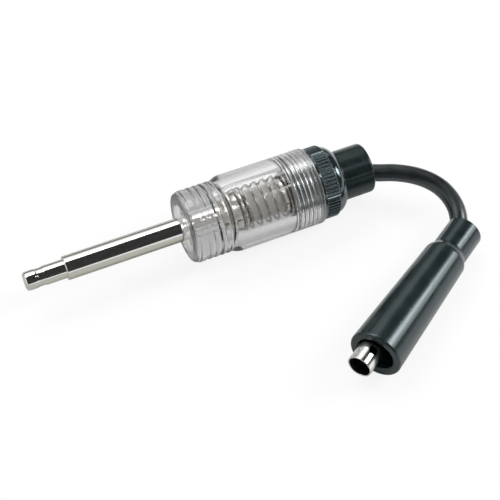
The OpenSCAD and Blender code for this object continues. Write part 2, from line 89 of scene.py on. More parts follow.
def bootPoints(s, left, up):
    # mouth + s along the boot + left + up, all in mm
    s, left, up = np.broadcast_arrays(s, left, up)
    return mouthPlace + s[..., None] * bootAxis + left[..., None] * bootLeft + up[..., None] * bootUp


# camera
cameraPlan = {"azimuth": -23.74, "elevation": 52.0, "distance": 0.4653,
              "target": (0.01428, -0.00792, 0.0005), "lens": 100.8, "sensor": 36.0,
              "near": 0.01, "far": 20.0}


def placeCamera():
    # back from the target by distance along azimuth and elevation
    p = cameraPlan
    azimuth, elevation = math.radians(p["azimuth"]), math.radians(p["elevation"])
    back = np.array([math.sin(azimuth) * math.cos(elevation), -math.cos(azimuth) * math.cos(elevation),
                     math.sin(elevation)])
    data = bpy.data.cameras.new("photoCamera")
    data.lens, data.sensor_width = p["lens"], p["sensor"]
    data.clip_start, data.clip_end = p["near"], p["far"]
    camera = bpy.data.objects.new("photoCamera", data)
    camera.location = np.array(p["target"]) + p["distance"] * back
    camera.rotation_euler = (math.pi / 2 - elevation, 0.0, azimuth)
    scene.collection.objects.link(camera)
    scene.camera = camera


placeCamera()
print("camera placed")

# meshes from grids: distances in metres under which points merge and faces count as flat
meshPlan = {"merge": 2e-7, "flat": 1e-7}


def gridFaces(rows, cols, closeRows):
    # quads between neighbouring rows and columns, columns always closed round
    i = np.arange(rows if closeRows else rows - 1)[:, None]
    j = np.arange(cols)[None, :]
    a, b = i * cols + j, i * cols + (j + 1) % cols
    below = (i + 1) % rows
    return np.stack([a, b, below * cols + (j + 1) % cols, below * cols + j], axis=-1).reshape(-1, 4)


def putMesh(name, points, faces, sharpAngle=None):
    # points in mm become a smooth mesh in metres at the origin, with doubles merged at its poles
    mesh = bpy.data.meshes.new(name)
    mesh.vertices.add(len(points))
    mesh.vertices.foreach_set("co", (points * mm).astype(np.float32).ravel())
    mesh.loops.add(faces.size)
    mesh.loops.foreach_set("vertex_index", faces.astype(np.int32).ravel())
    mesh.polygons.add(len(faces))
    mesh.polygons.foreach_set("loop_start", np.arange(0, faces.size, 4, dtype=np.int32))
    mesh.update(calc_edges=True)
    work = bmesh.new()
    work.from_mesh(mesh)
    bmesh.ops.remove_doubles(work, verts=work.verts, dist=meshPlan["merge"])
    bmesh.ops.dissolve_degenerate(work, edges=work.edges, dist=meshPlan["flat"])
    work.to_mesh(mesh)
    work.free()
    smoothFaces(mesh, sharpAngle)
    mesh.update()
    piece = bpy.data.objects.new(name, mesh)
    scene.collection.objects.link(piece)
    return piece


def smoothFaces(mesh, sharpAngle=None):
    # smooth shading, with edges above an angle kept sharp
    mesh.polygons.foreach_set("use_smooth", np.ones(len(mesh.polygons), bool))
    if sharpAngle is not None:
        mesh.set_sharp_from_angle(angle=math.radians(sharpAngle))


# a round takes at most this share of a stretch, and its support points lie this many reaches away
profilePlan = {"mostReach": 0.4, "support": 1.2, "least": 1e-6, "tiny": 1e-9}


def softProfile(corners, closed=True, steps=5):
    # each corner (x, r, fillet) becomes a Bezier round of that reach, with a support point beside it
    p = profilePlan
    table = np.array(corners, float)
    spots, reach = table[:, :2], table[:, 2]
    toPrev, toNext = np.roll(spots, 1, 0) - spots, np.roll(spots, -1, 0) - spots
    lenPrev, lenNext = np.linalg.norm(toPrev, axis=1), np.linalg.norm(toNext, axis=1)
    reach = np.minimum(reach, p["mostReach"] * np.minimum(lenPrev, lenNext))
    if not closed:
        reach[[0, -1]] = 0.0
    fore = spots + toPrev / np.maximum(lenPrev, p["tiny"])[:, None] * reach[:, None]
    aft = spots + toNext / np.maximum(lenNext, p["tiny"])[:, None] * reach[:, None]
    t = np.linspace(0, 1, steps + 1)[None, :, None]
    arcs = (1 - t) ** 2 * fore[:, None] + 2 * t * (1 - t) * spots[:, None] + t ** 2 * aft[:, None]
    before = spots + p["support"] * (fore - spots)
    after = spots + p["support"] * (aft - spots)
    line = np.concatenate([before[:, None], arcs, after[:, None]], axis=1).reshape(-1, 2)
    keep = np.ones(len(line), bool)
    keep[1:] = np.linalg.norm(np.diff(line, axis=0), axis=1) > p["least"]
    return line[keep]


def refine(profile, span, zones):
    # stretches inside a zone (low x, high x, low r, high r) get points at most span apart
    after = np.roll(profile, -1, 0)
    x, r = ((profile + after) / 2).T
    inside = np.zeros(len(profile), bool)
    for lowX, highX, lowR, highR in zones:
        inside |= (x > lowX) & (x < highX) & (r > lowR) & (r < highR)
    gaps = np.linalg.norm(after - profile, axis=1)
    counts = np.where(inside, np.maximum(1, np.ceil(gaps / span)), 1).astype(int)
    start = np.repeat(np.arange(len(profile)), counts)
    step = np.arange(counts.sum()) - np.repeat(np.cumsum(counts) - counts, counts)
    share = (step / counts[start])[:, None]
    return profile[start] * (1 - share) + after[start] * share


def spun(profile, sides, swell=None):
    # x stays, radius turns round the axis: (x, r cos a, r sin a), with an optional change of radius
    turn = np.linspace(0, 2 * math.pi, sides, endpoint=False)[None, :]
    x = profile[:, :1] + 0 * turn
    r = profile[:, 1:] + 0 * turn
    if swell is not None:
        r = r + swell(x, r, turn + 0 * x)
    return np.stack([x, r * np.cos(turn), r * np.sin(turn)], axis=-1)


def testerPiece(name, corners, sides=128, closed=True, steps=5, swell=None, dense=None):
    # a profile turned about the tester's axis
    profile = softProfile(corners, closed, steps)
    if dense is not None:
        profile = refine(profile, *dense)
    points = spun(profile, sides, swell)
    points[..., 2] += axisZ
    return putMesh(name, points.reshape(-1, 3), gridFaces(len(profile), sides, closed))


def bootPiece(name, corners, sides, closed=True, steps=5, swell=None, left=0.0, up=0.0):
    # a profile turned about a line along the boot, left and up of its axis
    profile = softProfile(corners, closed, steps)
    s, across, lift = np.moveaxis(spun(profile, sides, swell), -1, 0)
    points = bootPoints(s, across + left, lift + up)
    return putMesh(name, points.reshape(-1, 3), gridFaces(len(profile), sides, closed))


def sweptTube(path, outs, radius, sides):
    # rings round a path, first side along outs, with closed ends as rings of no radius
    heading = np.gradient(path, axis=0)
    heading = heading / np.linalg.norm(heading, axis=1)[:, None]
    outs = outs - heading * np.sum(outs * heading, axis=1)[:, None]
    outs = outs / np.linalg.norm(outs, axis=1)[:, None]
    side = np.cross(heading, outs)
    turn = np.linspace(0, 2 * math.pi, sides, endpoint=False)
    wheel = np.cos(turn)[None, :, None] * outs[:, None] + np.sin(turn)[None, :, None] * side[:, None]
    points = path[:, None] + radius * wheel
    ends = [np.repeat(path[:1, None], sides, 1), np.repeat(path[-1:, None], sides, 1)]
    points = np.concatenate([ends[0], points, ends[1]], axis=0)
    return points.reshape(-1, 3), gridFaces(len(points), sides, False)


def smoothPath(points, perSpan):
    # Catmull-Rom curve through the points, perSpan samples to each stretch
    grown = np.concatenate([[2 * points[0] - points[1]], points, [2 * points[-1] - points[-2]]])
    t = np.linspace(0, 1, perSpan, endpoint=False)[None, :, None]
    p0, p1, p2, p3 = [grown[k:len(grown) - 3 + k, None] for k in range(4)]
    curve = 0.5 * (2 * p1 + (p2 - p0) * t + (2 * p0 - 5 * p1 + 4 * p2 - p3) * t ** 2
                   + (3 * p1 - p0 - 3 * p2 + p3) * t ** 3)
    return np.concatenate([curve.reshape(-1, 3), points[-1:]])


# finishes: dark and light tone, roughness range, noise scale and stretch, bump strength, share of metal
# and of clear glass, tint of the shine and index of refraction
commonFinish = {"stretch": (1, 1, 1), "metal": 0.0, "clear": 0.0, "tint": (1, 1, 1), "index": 1.5}
plated = {"metal": 1.0}
finishes = {
    "chrome": {**plated, "dark": (0.70, 0.69, 0.67), "light": (0.80, 0.79, 0.78), "rough": (0.05, 0.13),
               "scale": 260.0, "stretch": (0.06, 1, 1), "bump": 0.02},
    "socketPlate": {**plated, "dark": (0.62, 0.62, 0.60), "light": (0.76, 0.76, 0.74), "rough": (0.14, 0.24),
                    "scale": 300.0, "bump": 0.02},
    # painted shade: a dark finish for the faces inside the socket's bore, so that the hole looks dark
    "socketBoreShade": {**plated, "dark": (0.05, 0.055, 0.055), "light": (0.10, 0.105, 0.10),
                     "rough": (0.35, 0.5), "scale": 300.0, "bump": 0.02},
    "nickel": {**plated, "dark": (0.58, 0.55, 0.50), "light": (0.74, 0.72, 0.68), "rough": (0.16, 0.30),
               "scale": 420.0, "bump": 0.03},
    "springWire": {**plated, "dark": (0.24, 0.23, 0.215), "light": (0.40, 0.39, 0.37), "rough": (0.16, 0.32),
                   "scale": 700.0, "bump": 0.05},
    "brass": {**plated, "dark": (0.52, 0.38, 0.17), "light": (0.70, 0.55, 0.29), "rough": (0.22, 0.38),
              "scale": 380.0, "bump": 0.04},
    "copper": {**plated, "dark": (0.44, 0.22, 0.12), "light": (0.66, 0.36, 0.22), "rough": (0.25, 0.45),
               "scale": 900.0, "stretch": (0.2, 1, 1), "bump": 0.08},
    "steel": {**plated, "dark": (0.40, 0.40, 0.40), "light": (0.58, 0.58, 0.57), "rough": (0.22, 0.36),
              "scale": 500.0, "bump": 0.04},
    "capPlastic": {"dark": (0.009, 0.011, 0.012), "light": (0.016, 0.019, 0.020), "rough": (0.09, 0.15),
                   "scale": 900.0, "bump": 0.01, "tint": (0.74, 0.95, 1.0), "index": 1.9},
    "glandRubber": {"dark": (0.006, 0.009, 0.0095), "light": (0.010, 0.0145, 0.015), "rough": (0.24, 0.34),
                    "scale": 650.0, "bump": 0.01, "tint": (0.76, 0.96, 1.0), "index": 1.36},
    "leadRubber": {"dark": (0.007, 0.008, 0.009), "light": (0.012, 0.014, 0.015), "rough": (0.28, 0.38),
                   "scale": 220.0, "bump": 0.006, "tint": (0.84, 0.96, 1.0), "index": 1.62},
    "bootRubber": {"dark": (0.007, 0.013, 0.0135), "light": (0.012, 0.021, 0.0215), "rough": (0.19, 0.25),
                   "scale": 170.0, "bump": 0.004, "tint": (0.82, 0.95, 1.0), "index": 1.53},
    "sealRubber": {"dark": (0.012, 0.013, 0.013), "light": (0.024, 0.025, 0.025), "rough": (0.40, 0.55),
                   "scale": 700.0, "bump": 0.05, "tint": (0.80, 0.96, 1.0), "index": 1.6},
    "lampGlass": {"dark": (0.86, 0.82, 0.74), "light": (0.95, 0.91, 0.84), "rough": (0.28, 0.42),
                  "scale": 240.0, "bump": 0.03, "clear": 0.15},
    "clearPlastic": {"dark": (0.955, 0.955, 0.955), "light": (0.985, 0.985, 0.985), "rough": (0.012, 0.04),
                     "scale": 160.0, "bump": 0.01, "clear": 1.0, "index": 1.49},
}
# noise detail, range of the noise that counts, grain relative to the cloud and depth of the bump in metres
noisePlan = {"detail": 4.0, "spread": (0.3, 0.7), "grainScale": 6, "grainDetail": 3.0, "depth": 0.0002}
# the clear plastic's dullness where it is cut, and what it swallows per metre
plasticPlan = {"frost": 0.12, "depthTone": (0.57, 0.572, 0.60), "density": 40.0}


def tone(value):
    # a colour with full cover
    return (*value, 1.0)


def newFinish(name):
    # an empty node finish: its material, nodes, links and shader
    material = bpy.data.materials.new(name)
    material.use_nodes = True
    nodes, links = material.node_tree.nodes, material.node_tree.links
    return material, nodes, links, nodes["Principled BSDF"]


def makeFinish(name):
    # a noise in the piece's own coordinates drives tone and gloss, and a finer one the bump
    plan, p = {**commonFinish, **finishes[name]}, noisePlan
    material, nodes, links, shader = newFinish(name)
    place = nodes.new("ShaderNodeTexCoord")
    mapping = nodes.new("ShaderNodeMapping")
    mapping.inputs["Scale"].default_value = plan["stretch"]
    links.new(place.outputs["Object"], mapping.inputs["Vector"])
    cloud = nodes.new("ShaderNodeTexNoise")
    cloud.inputs["Scale"].default_value = plan["scale"]
    cloud.inputs["Detail"].default_value = p["detail"]
    grain = nodes.new("ShaderNodeTexNoise")
    grain.inputs["Scale"].default_value = plan["scale"] * p["grainScale"]
    grain.inputs["Detail"].default_value = p["grainDetail"]
    links.new(mapping.outputs["Vector"], cloud.inputs["Vector"])
    links.new(mapping.outputs["Vector"], grain.inputs["Vector"])
    tones = nodes.new("ShaderNodeValToRGB")
    for stop, position, shade in zip(tones.color_ramp.elements, p["spread"], ("dark", "light")):
        stop.position, stop.color = position, tone(plan[shade])
    links.new(cloud.outputs["Fac"], tones.inputs["Fac"])
    links.new(tones.outputs["Color"], shader.inputs["Base Color"])
    gloss = nodes.new("ShaderNodeMapRange")
    gloss.inputs["From Min"].default_value, gloss.inputs["From Max"].default_value = p["spread"]
    gloss.inputs["To Min"].default_value, gloss.inputs["To Max"].default_value = plan["rough"]
    links.new(cloud.outputs["Fac"], gloss.inputs["Value"])
    links.new(gloss.outputs["Result"], shader.inputs["Roughness"])
    bump = nodes.new("ShaderNodeBump")
    bump.inputs["Strength"].default_value = plan["bump"]
    bump.inputs["Distance"].default_value = p["depth"]
    links.new(grain.outputs["Fac"], bump.inputs["Height"])
    links.new(bump.outputs["Normal"], shader.inputs["Normal"])
    shader.inputs["Metallic"].default_value = plan["metal"]
    shader.inputs["Transmission Weight"].default_value = plan["clear"]
    shader.inputs["IOR"].default_value = plan["index"]
    shader.inputs["Specular Tint"].default_value = tone(plan["tint"])
    return material


def frostPlastic(material):
    # roughness grows by frost times the attribute cut, and the inside swallows a little light
    nodes, links = material.node_tree.nodes, material.node_tree.links
    shader = nodes["Principled BSDF"]
    cut = nodes.new("ShaderNodeAttribute")
    cut.attribute_name = "cut"
    frost = nodes.new("ShaderNodeMath")
    frost.operation = "MULTIPLY_ADD"
    frost.inputs[1].default_value = plasticPlan["frost"]
    links.new(cut.outputs["Fac"], frost.inputs[0])
    links.new(shader.inputs["Roughness"].links[0].from_socket, frost.inputs[2])
    links.new(frost.outputs[0], shader.inputs["Roughness"])
    depth = nodes.new("ShaderNodeVolumeAbsorption")
    depth.inputs["Color"].default_value = tone(plasticPlan["depthTone"])
    depth.inputs["Density"].default_value = plasticPlan["density"]
    links.new(depth.outputs["Volume"], nodes["Material Output"].inputs["Volume"])


looks = {name: makeFinish(name) for name in finishes}
frostPlastic(looks["clearPlastic"])
print("finishes made")


def dress(piece, look, body, node):
    # finish and body of a piece, and the CAD node that it stands for, which gets hidden
    piece.data.materials.clear()
    piece.data.materials.append(looks[look])
    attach(piece, body)
    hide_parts(node)
    return piece


# ignition lead: the route's points, from the gland's bore through the free bend into the boot
leadPlan = {
    "radius": 2.95, "length": 109.8, "sides": 32, "perSpan": 10, "sharp": 40, "grip": 7.0, "bellRoom": 2.95,
    "glandRun": [[-9, -0.065, -0.03], [-4.5, -0.29, -0.13], [0, -0.68, -0.29]],
    "freeRun": [[4, -3.5, 11.9], [7.8, -4.9, 11.7], [11.6, -6.9, 11.5], [15.1, -9.4, 11.2],
                [18.1, -12.5, 10.8], [20.4, -16.2, 10.2], [21.6, -20.2, 9.4], [21.8, -24.1, 8.6],
                [21.2, -27.4, 7.8], [20.1, -30.2, 6.9]],
    "turnR": 11.8, "turnAngle": 33.0, "turnSteps": 3, "settleS": 31.0, "straightRuns": 4, "settleSteps": 6,
    "lean": 1.7, "leanAngle": 28, "crimpEndS": 16.7, "leadEndS": 13.2, "exitY": -2.0, "exitDrop": 0.86,
}
leanLeft = leadPlan["lean"] * math.cos(math.radians(leadPlan["leanAngle"]))
leanUp = leadPlan["lean"] * math.sin(math.radians(leadPlan["leanAngle"]))


def leadRoute():
    # straight in the gland, free, round a short arc into the sleeve, straight again, and then
    # over to the socket's line by t squared times (3 - 2 t)
    p = leadPlan
    bellX = leadX + p["grip"]
    gripRun = np.array([[leadX, 0, axisZ], [(leadX + bellX) / 2, 0, axisZ], [bellX, 0, axisZ]])
    glandRun = np.array(p["glandRun"], float) * [1, p["bellRoom"], p["bellRoom"]] + [glandX, 0, axisZ]
    freeRun = np.array(p["freeRun"], float) + [glandX, 0, 0]
    angle = np.radians(p["turnAngle"] * np.linspace(1, 0, p["turnSteps"] + 1))
    turnS = bootPlan["length"] - p["turnR"] * math.sin(math.radians(p["turnAngle"]))
    turnRun = bootPoints(turnS + p["turnR"] * np.sin(angle), p["turnR"] * (1 - np.cos(angle)), 0.0)
    share = np.arange(1, p["straightRuns"] + 1) / p["straightRuns"]
    neckRun = bootPoints(turnS + (p["settleS"] - turnS) * share, 0.0, 0.0)
    t = np.arange(1, p["settleSteps"] + 1) / p["settleSteps"]
    ease = t * t * (3 - 2 * t)
    settleS = p["settleS"] + (p["crimpEndS"] - p["settleS"]) * t
    settleRun = bootPoints(settleS, leanLeft * ease, leanUp * ease)
    end = bootPoints(np.array([p["leadEndS"]]), leanLeft, leanUp)
    return np.concatenate([gripRun, glandRun, freeRun, turnRun, neckRun, settleRun, end])


def makeLead():
    # one tube along the route, its first side kept level
    p = leadPlan
    path = smoothPath(leadRoute(), p["perSpan"])
    level = np.cross(np.gradient(path, axis=0), [0.0, 0.0, 1.0])
    points, faces = sweptTube(path, level, p["radius"], p["sides"])
    piece = putMesh("ignitionLead", points, faces, p["sharp"])
    dress(piece, "leadRubber", "tester", "lead_jacket")
    print("lead length", round(np.linalg.norm(np.diff(path, axis=0), axis=1).sum(), 2), "mm")
    return piece, path


lead, leadPath = makeLead()
print("lead made")

# probe rod
probePlan = {"tipR": 3.15, "tipLength": 13.5, "tipRound": 1.3, "groovePos": 3.6, "grooveWidth": 3.2,
             "grooveDepth": 0.2, "grooveFloor": (0.25, 0.75), "grooveRound": 0.35, "rodR": 4.0,
             "rodRound": 0.45, "shankR": 3.0, "studR": 2.5, "endRound": 0.22, "steps": 7}


def makeProbe():
    # tip with a shallow groove, step, rod, shank and stud, from the left
    p = probePlan
    stepX, grooveX = tipX + p["tipLength"], tipX + p["groovePos"]
    floorFirst, floorLast = [grooveX + p["grooveWidth"] * share for share in p["grooveFloor"]]
    floorR = p["tipR"] - p["grooveDepth"]
    piece = testerPiece("probeRod", [
        (tipX, 0, 0), (tipX, p["tipR"], p["tipRound"]), (grooveX, p["tipR"], p["grooveRound"]),
        (floorFirst, floorR, p["grooveRound"]), (floorLast, floorR, p["grooveRound"]),
        (grooveX + p["grooveWidth"], p["tipR"], p["grooveRound"]), (stepX, p["tipR"], thin),
        (stepX, p["rodR"], p["rodRound"]), (recessX, p["rodR"], p["endRound"]), (recessX, p["shankR"], fine),
        (wellX, p["shankR"], fine), (wellX, p["studR"], fine), (rodEndX, p["studR"], fine), (rodEndX, 0, 0)],
        closed=False, steps=p["steps"])
    dress(piece, "chrome", "tester", "probe_rod")


makeProbe()

# clear housing, with a helical thread in its open end; the frosts are shares of the thread's own dullness
housingPlan = {"noseStep": 0.8, "land": 4.3, "chamfer": 1.75, "drop": 0.8, "noseRound": 0.6,
               "rings": 4, "pitch": 2.15, "ringDepth": 0.3, "ringCrest": (0.3, 0.7), "ringLead": 0.65,
               "shoulder": 2.6, "shoulderRound": 1.0, "recessR": 8.0, "chamberR": 8.0,
               "wellR": 5.8, "shankBore": 3.05, "boreR": 11.25, "sides": 160, "span": 0.1,
               "ringFrost": 0.8, "ringReach": 0.7, "faceFrost": 3.0, "faceReach": 0.6,
               "wallFrost": (0.0, 1.2, 3.0), "wallReach": 1.0, "frostBefore": 1.5, "frostAfter": 1.0}
threadPlan = {"pitch": 1.5, "depth": 0.7, "land": 0.6, "flat": 0.08, "crestR": 10.95, "rootR": 10.25,
              "near": 0.02}


def threadWave(x, turn):
    # saw of x minus pitch per turn, from 0 at a root to 1 at a crest, with short flats
    phase = (x - rimX) / threadPlan["pitch"] - turn / (2 * math.pi)
    saw = 1 - np.abs(2 * (phase - np.floor(phase)) - 1)
    return np.clip((saw - threadPlan["flat"]) / (1 - 2 * threadPlan["flat"]), 0, 1)


def fade(x, low, high, width):
    # 1 between low and high, easing to 0 over width at both ends
    rise = np.clip((x - low) / width, 0, 1) * np.clip((high - x) / width, 0, 1)
    return rise * rise * (3 - 2 * rise)


def makeHousing():
    # recess, nose with rings, shoulder, wall, rim, bore, chamber and well, as one closed profile
    p = housingPlan
    noseR, valleyR = housingR - p["noseStep"], housingR - p["noseStep"] - p["ringDepth"]
    ringsX = faceX + p["land"]
    ringsEndX = ringsX + p["rings"] * p["pitch"]
    frostX = (seatX - p["frostBefore"], seatX + p["frostAfter"], rimX)
    crestFirst, crestLast = [p["pitch"] * share for share in p["ringCrest"]]
    rings = [corner for start in ringsX + p["pitch"] * np.arange(p["rings"])
             for corner in ((start, valleyR, edge), (start + crestFirst, noseR, edge),
                            (start + crestLast, noseR, edge))]
    corners = [(recessX, p["recessR"], edge), (faceX, p["recessR"], soft), (faceX, noseR - p["drop"], full),
               (faceX + p["chamfer"], noseR, p["noseRound"]), (ringsX - p["ringLead"], noseR, soft), *rings,
               (ringsEndX, valleyR, edge), (ringsEndX + p["ringLead"], noseR, soft),
               (ringsEndX + p["shoulder"], housingR, p["shoulderRound"]), (frostX[0], housingR, 0),
               (frostX[1], housingR, 0), (rimX, housingR, soft), (rimX, p["boreR"], small),
               (seatX, p["boreR"], thin), (seatX, p["chamberR"], small), (chamberX, p["chamberR"], full),
               (chamberX, p["wellR"], thin), (wellX, p["wellR"], small), (wellX, p["shankBore"], small),
               (recessX, p["shankBore"], small)]

    def threaded(x, r, turn):
        # only the bore behind the seat is cut, as deep as the thread wave says
        bore = (np.abs(r - p["boreR"]) < threadPlan["near"]) & (x > seatX)
        zone = fade(x, seatX + fine, rimX - fine, threadPlan["land"])
        return np.where(bore, threadPlan["depth"] * zone * threadWave(x, turn), 0.0)

    bore = (seatX + hair, rimX, p["boreR"] - hair, p["boreR"] + hair)
    shell = testerPiece("clearHousing", corners, p["sides"], swell=threaded, dense=(p["span"], [bore]))
    # dullness at each point: 1 on the thread, less on the rings, more on the front face
    spots = np.empty(3 * len(shell.data.vertices), np.float32)
    shell.data.vertices.foreach_get("co", spots)
    x, y, z = spots.reshape(-1, 3).T / mm
    r = np.hypot(y, z - axisZ)
    threadR, reach = threadPlan["crestR"] + threadPlan["depth"], p["ringReach"]
    onThread = (x > seatX + small) & (np.abs(r - threadR) < threadPlan["depth"])
    onRings = (x > ringsX - reach) & (x < ringsEndX + reach) & (r > valleyR - fine)
    onFace = (x < faceX + p["faceReach"]) & (r > p["recessR"] - edge)
    # the outer wall over the thread gets duller towards the rim
    onWall = np.interp(x, frostX, p["wallFrost"]) * (r > housingR - p["wallReach"])
    share = onThread + p["ringFrost"] * onRings + p["faceFrost"] * onFace + onWall
    dullOrPaintedDark = shell.data.attributes.new("cut", "FLOAT", "POINT")
    dullOrPaintedDark.data.foreach_set("value", share.astype(np.float32))
    dress(shell, "clearPlastic", "tester", "clear_housing")


makeHousing()

# lamp: two metal caps, a smoked barrel and the cup that holds it, whose floor lies at the rod's end
lampPlan = {"cupR": 6.3, "cupWall": 0.35, "cupDepth": 3.2, "cupFoot": 0.25, "cupRim": 0.12, "flange": 1.0,
            "flangeR": 7.4, "studRoom": 0.05, "capR": 5.9, "capWall": 0.35, "capLength": 4.5, "capEnd": 0.8,
            "nib": 1.5, "nibR": 1.7, "glassWall": 0.6, "glassRoom": 0.05, "head": 1.8}


def makeLamp():
    # four turned profiles one behind the other, from the rod's end to the contact screw's head
    p = lampPlan
    cupX, cupEndX = rodEndX - p["flange"], rodEndX + p["cupDepth"]
    cupIn, capIn = p["cupR"] - p["cupWall"], p["capR"] - p["capWall"]
    stud = probePlan["studR"] + p["studRoom"]
    cup = testerPiece("contactCup", [
        (cupX, stud, hair), (cupX, p["flangeR"], small), (rodEndX, p["flangeR"], small),
        (rodEndX, p["cupR"], p["cupFoot"]), (cupEndX, p["cupR"], p["cupRim"]), (cupEndX, cupIn, p["cupRim"]),
        (rodEndX, cupIn, fine), (rodEndX, stud, hair)])
    dress(cup, "nickel", "tester", "contact_cup")
    frontEnd, frontBack = rodEndX + p["capEnd"], rodEndX + p["capLength"]
    front = testerPiece("lampFrontCap", [
        (rodEndX, 0, 0), (rodEndX, p["capR"], soft), (frontBack, p["capR"], thin), (frontBack, capIn, fine),
        (frontEnd, capIn, small), (frontEnd, 0, 0)], closed=False)
    dress(front, "nickel", "tester", "lamp_front_cap")
    headX = discX - p["head"]
    backCapX = headX - p["nib"]
    backEnd, backFront = backCapX - p["capEnd"], backCapX - p["capLength"]
    back = testerPiece("lampBackCap", [
        (backEnd, 0, 0), (backEnd, capIn, small), (backFront, capIn, fine), (backFront, p["capR"], thin),
        (backCapX, p["capR"], soft), (backCapX, p["nibR"], edge), (headX, p["nibR"], soft), (headX, 0, 0)],
        closed=False)
    dress(back, "nickel", "tester", "lamp_back_cap")
    glassR = capIn - p["glassRoom"]
    glassIn = glassR - p["glassWall"]
    barrel = testerPiece("lampBarrel", [
        (frontEnd, glassIn, thin), (frontEnd, glassR, small), (backEnd, glassR, small),
        (backEnd, glassIn, thin)])
    dress(barrel, "lampGlass", "tester", "lamp_glass")


makeLamp()
print("probe, housing and lamp made")

# coil spring: a straight stub, a bend, close and open turns, a bend and a stub
springPlan = {"wire": 0.8, "meanR": 7.0, "closePitch": 1.4, "front": 1, "open": 5, "back": 3, "perTurn": 48,
              "bendStep": 10, "sides": 12, "sharp": 50}


def makeSpring():
    # place along the axis and turn round it grow together: close, open and close again, and at each end
    # a stub and a quarter bend take one wire's width each
    p = springPlan
    wire, r, startX = p["wire"], p["meanR"], rodEndX
    bendTurn = wire / r
    turns = p["front"] + p["open"] + p["back"]
    length = discX - startX - 4 * wire
    openPitch = (length - p["closePitch"] * (p["front"] + p["back"])) / p["open"]
    u = np.linspace(0, turns, turns * p["perTurn"] + 1)
    rise = (p["closePitch"] * np.minimum(u, p["front"]) + openPitch * np.clip(u - p["front"], 0, p["open"])
            + p["closePitch"] * np.maximum(0, u - p["front"] - p["open"]))
    bend = np.radians(np.arange(p["bendStep"], 90, p["bendStep"]))
    endTurn = 2 * bendTurn + 2 * math.pi * turns
    stub = np.array([0, wire / 2, wire])
    x = np.concatenate([startX + stub, startX + wire * (1 + np.sin(bend)), startX + 2 * wire + rise,
                        discX - wire * (1 + np.sin(bend[::-1])), discX - stub[::-1]])
    turn = np.concatenate([0 * stub, bendTurn * (1 - np.cos(bend)), bendTurn + 2 * math.pi * u,
                           endTurn - bendTurn * (1 - np.cos(bend[::-1])), endTurn + 0 * stub])
    path = np.stack([x, r * np.cos(turn), axisZ + r * np.sin(turn)], -1)
    out = np.stack([0 * turn, np.cos(turn), np.sin(turn)], -1)
    points, faces = sweptTube(path, out, wire / 2, p["sides"])
    piece = putMesh("coilSpring", points, faces, p["sharp"])
    dress(piece, "springWire", "tester", "coil_spring")


makeSpring()

# rubber gland with a fine mould line, and its bell for the lead
glandPlan = {"flangeR": 9.2, "flange": 7.0, "bodyR": 8.45, "round": 2.0, "pocketR": 7.75,
             "gripR": 3.05, "bellR": 5.9, "screwR": 1.15, "line": 0.30, "lineWidth": 0.18, "lineAngle": 142,
             "lineX": 9.8, "lineDepth": 2.0, "sides": 480, "span": 1.5, "spanStart": 1.0}
bellPlan = {"steps": 8, "power": 1.6}


def mouldLine(height, width, radius, angle, startX):
    # a thin ridge on both sides of the piece, where the mould's halves met: height times a bell curve of
    # the way across it, behind startX and outside radius
    def swell(x, r, turn):
        across = np.abs(np.sin(turn - math.radians(angle))) * r
        return np.where((r > radius) & (x > startX), height * np.exp(-(across / width) ** 2), 0.0)
    return swell


def bellCurve(startX, startR, endX, endR):
    # radius grows with a power of the way to the end, listed from the end back
    t = np.linspace(1, 0, bellPlan["steps"])
    x, r = startX + (endX - startX) * t, startR + (endR - startR) * t ** bellPlan["power"]
    return [(*spot, edge) for spot in zip(x, r)]


def makeGland():
    # pocket for the disc, flange, body, bell, grip on the lead and bore for the screw
    p = glandPlan
    flangeX = seatX + p["flange"]
    corners = [(seatX, p["pocketR"], small), (seatX, p["flangeR"], edge), (flangeX, p["flangeR"], small),
               (flangeX, p["bodyR"], small), (glandX, p["bodyR"], p["round"]),
               *bellCurve(leadX + leadPlan["grip"], p["gripR"], glandX, p["bellR"]),
               (leadX, p["gripR"], fine), (leadX, p["screwR"], hair), (discBackX, p["screwR"], hair),
               (discBackX, p["pocketR"], fine)]
    ridge = mouldLine(p["line"], p["lineWidth"], p["bodyR"] - p["lineDepth"], p["lineAngle"],
                      rimX + p["lineX"])
    body = (flangeX + p["spanStart"], glandX - p["round"], p["bodyR"] - fine, p["bodyR"] + fine)
    piece = testerPiece("rubberGland", corners, p["sides"], swell=ridge, dense=(p["span"], [body]))
    dress(piece, "glandRubber", "tester", "gland")


makeGland()

# screw cap: threaded spigot, plain collar, ribbed band and dome
capPlan = {"gap": 0.1, "length": 9.5, "inset": 0.6, "collar": 0.7, "knurl": 5.0, "ribs": 60,
           "ribDepth": 0.45, "ribDrop": 0.1, "ribPower": 0.8, "ribSlope": 0.25, "ribFade": 0.2,
           "boreR": 8.75, "lip": 0.35, "counterR": 9.5, "counterX": 8.3, "spigotX": 0.3, "screwFade": 0.5,
           "sealX": 1.3, "sealR": 10.0, "sealLip": 0.3, "domeX": 0.15, "domeDrop": 0.3, "domeBend": 2.2,
           "domeSteps": 7, "domeFade": 1.0, "sides": 480, "steps": 3, "span": 0.2}


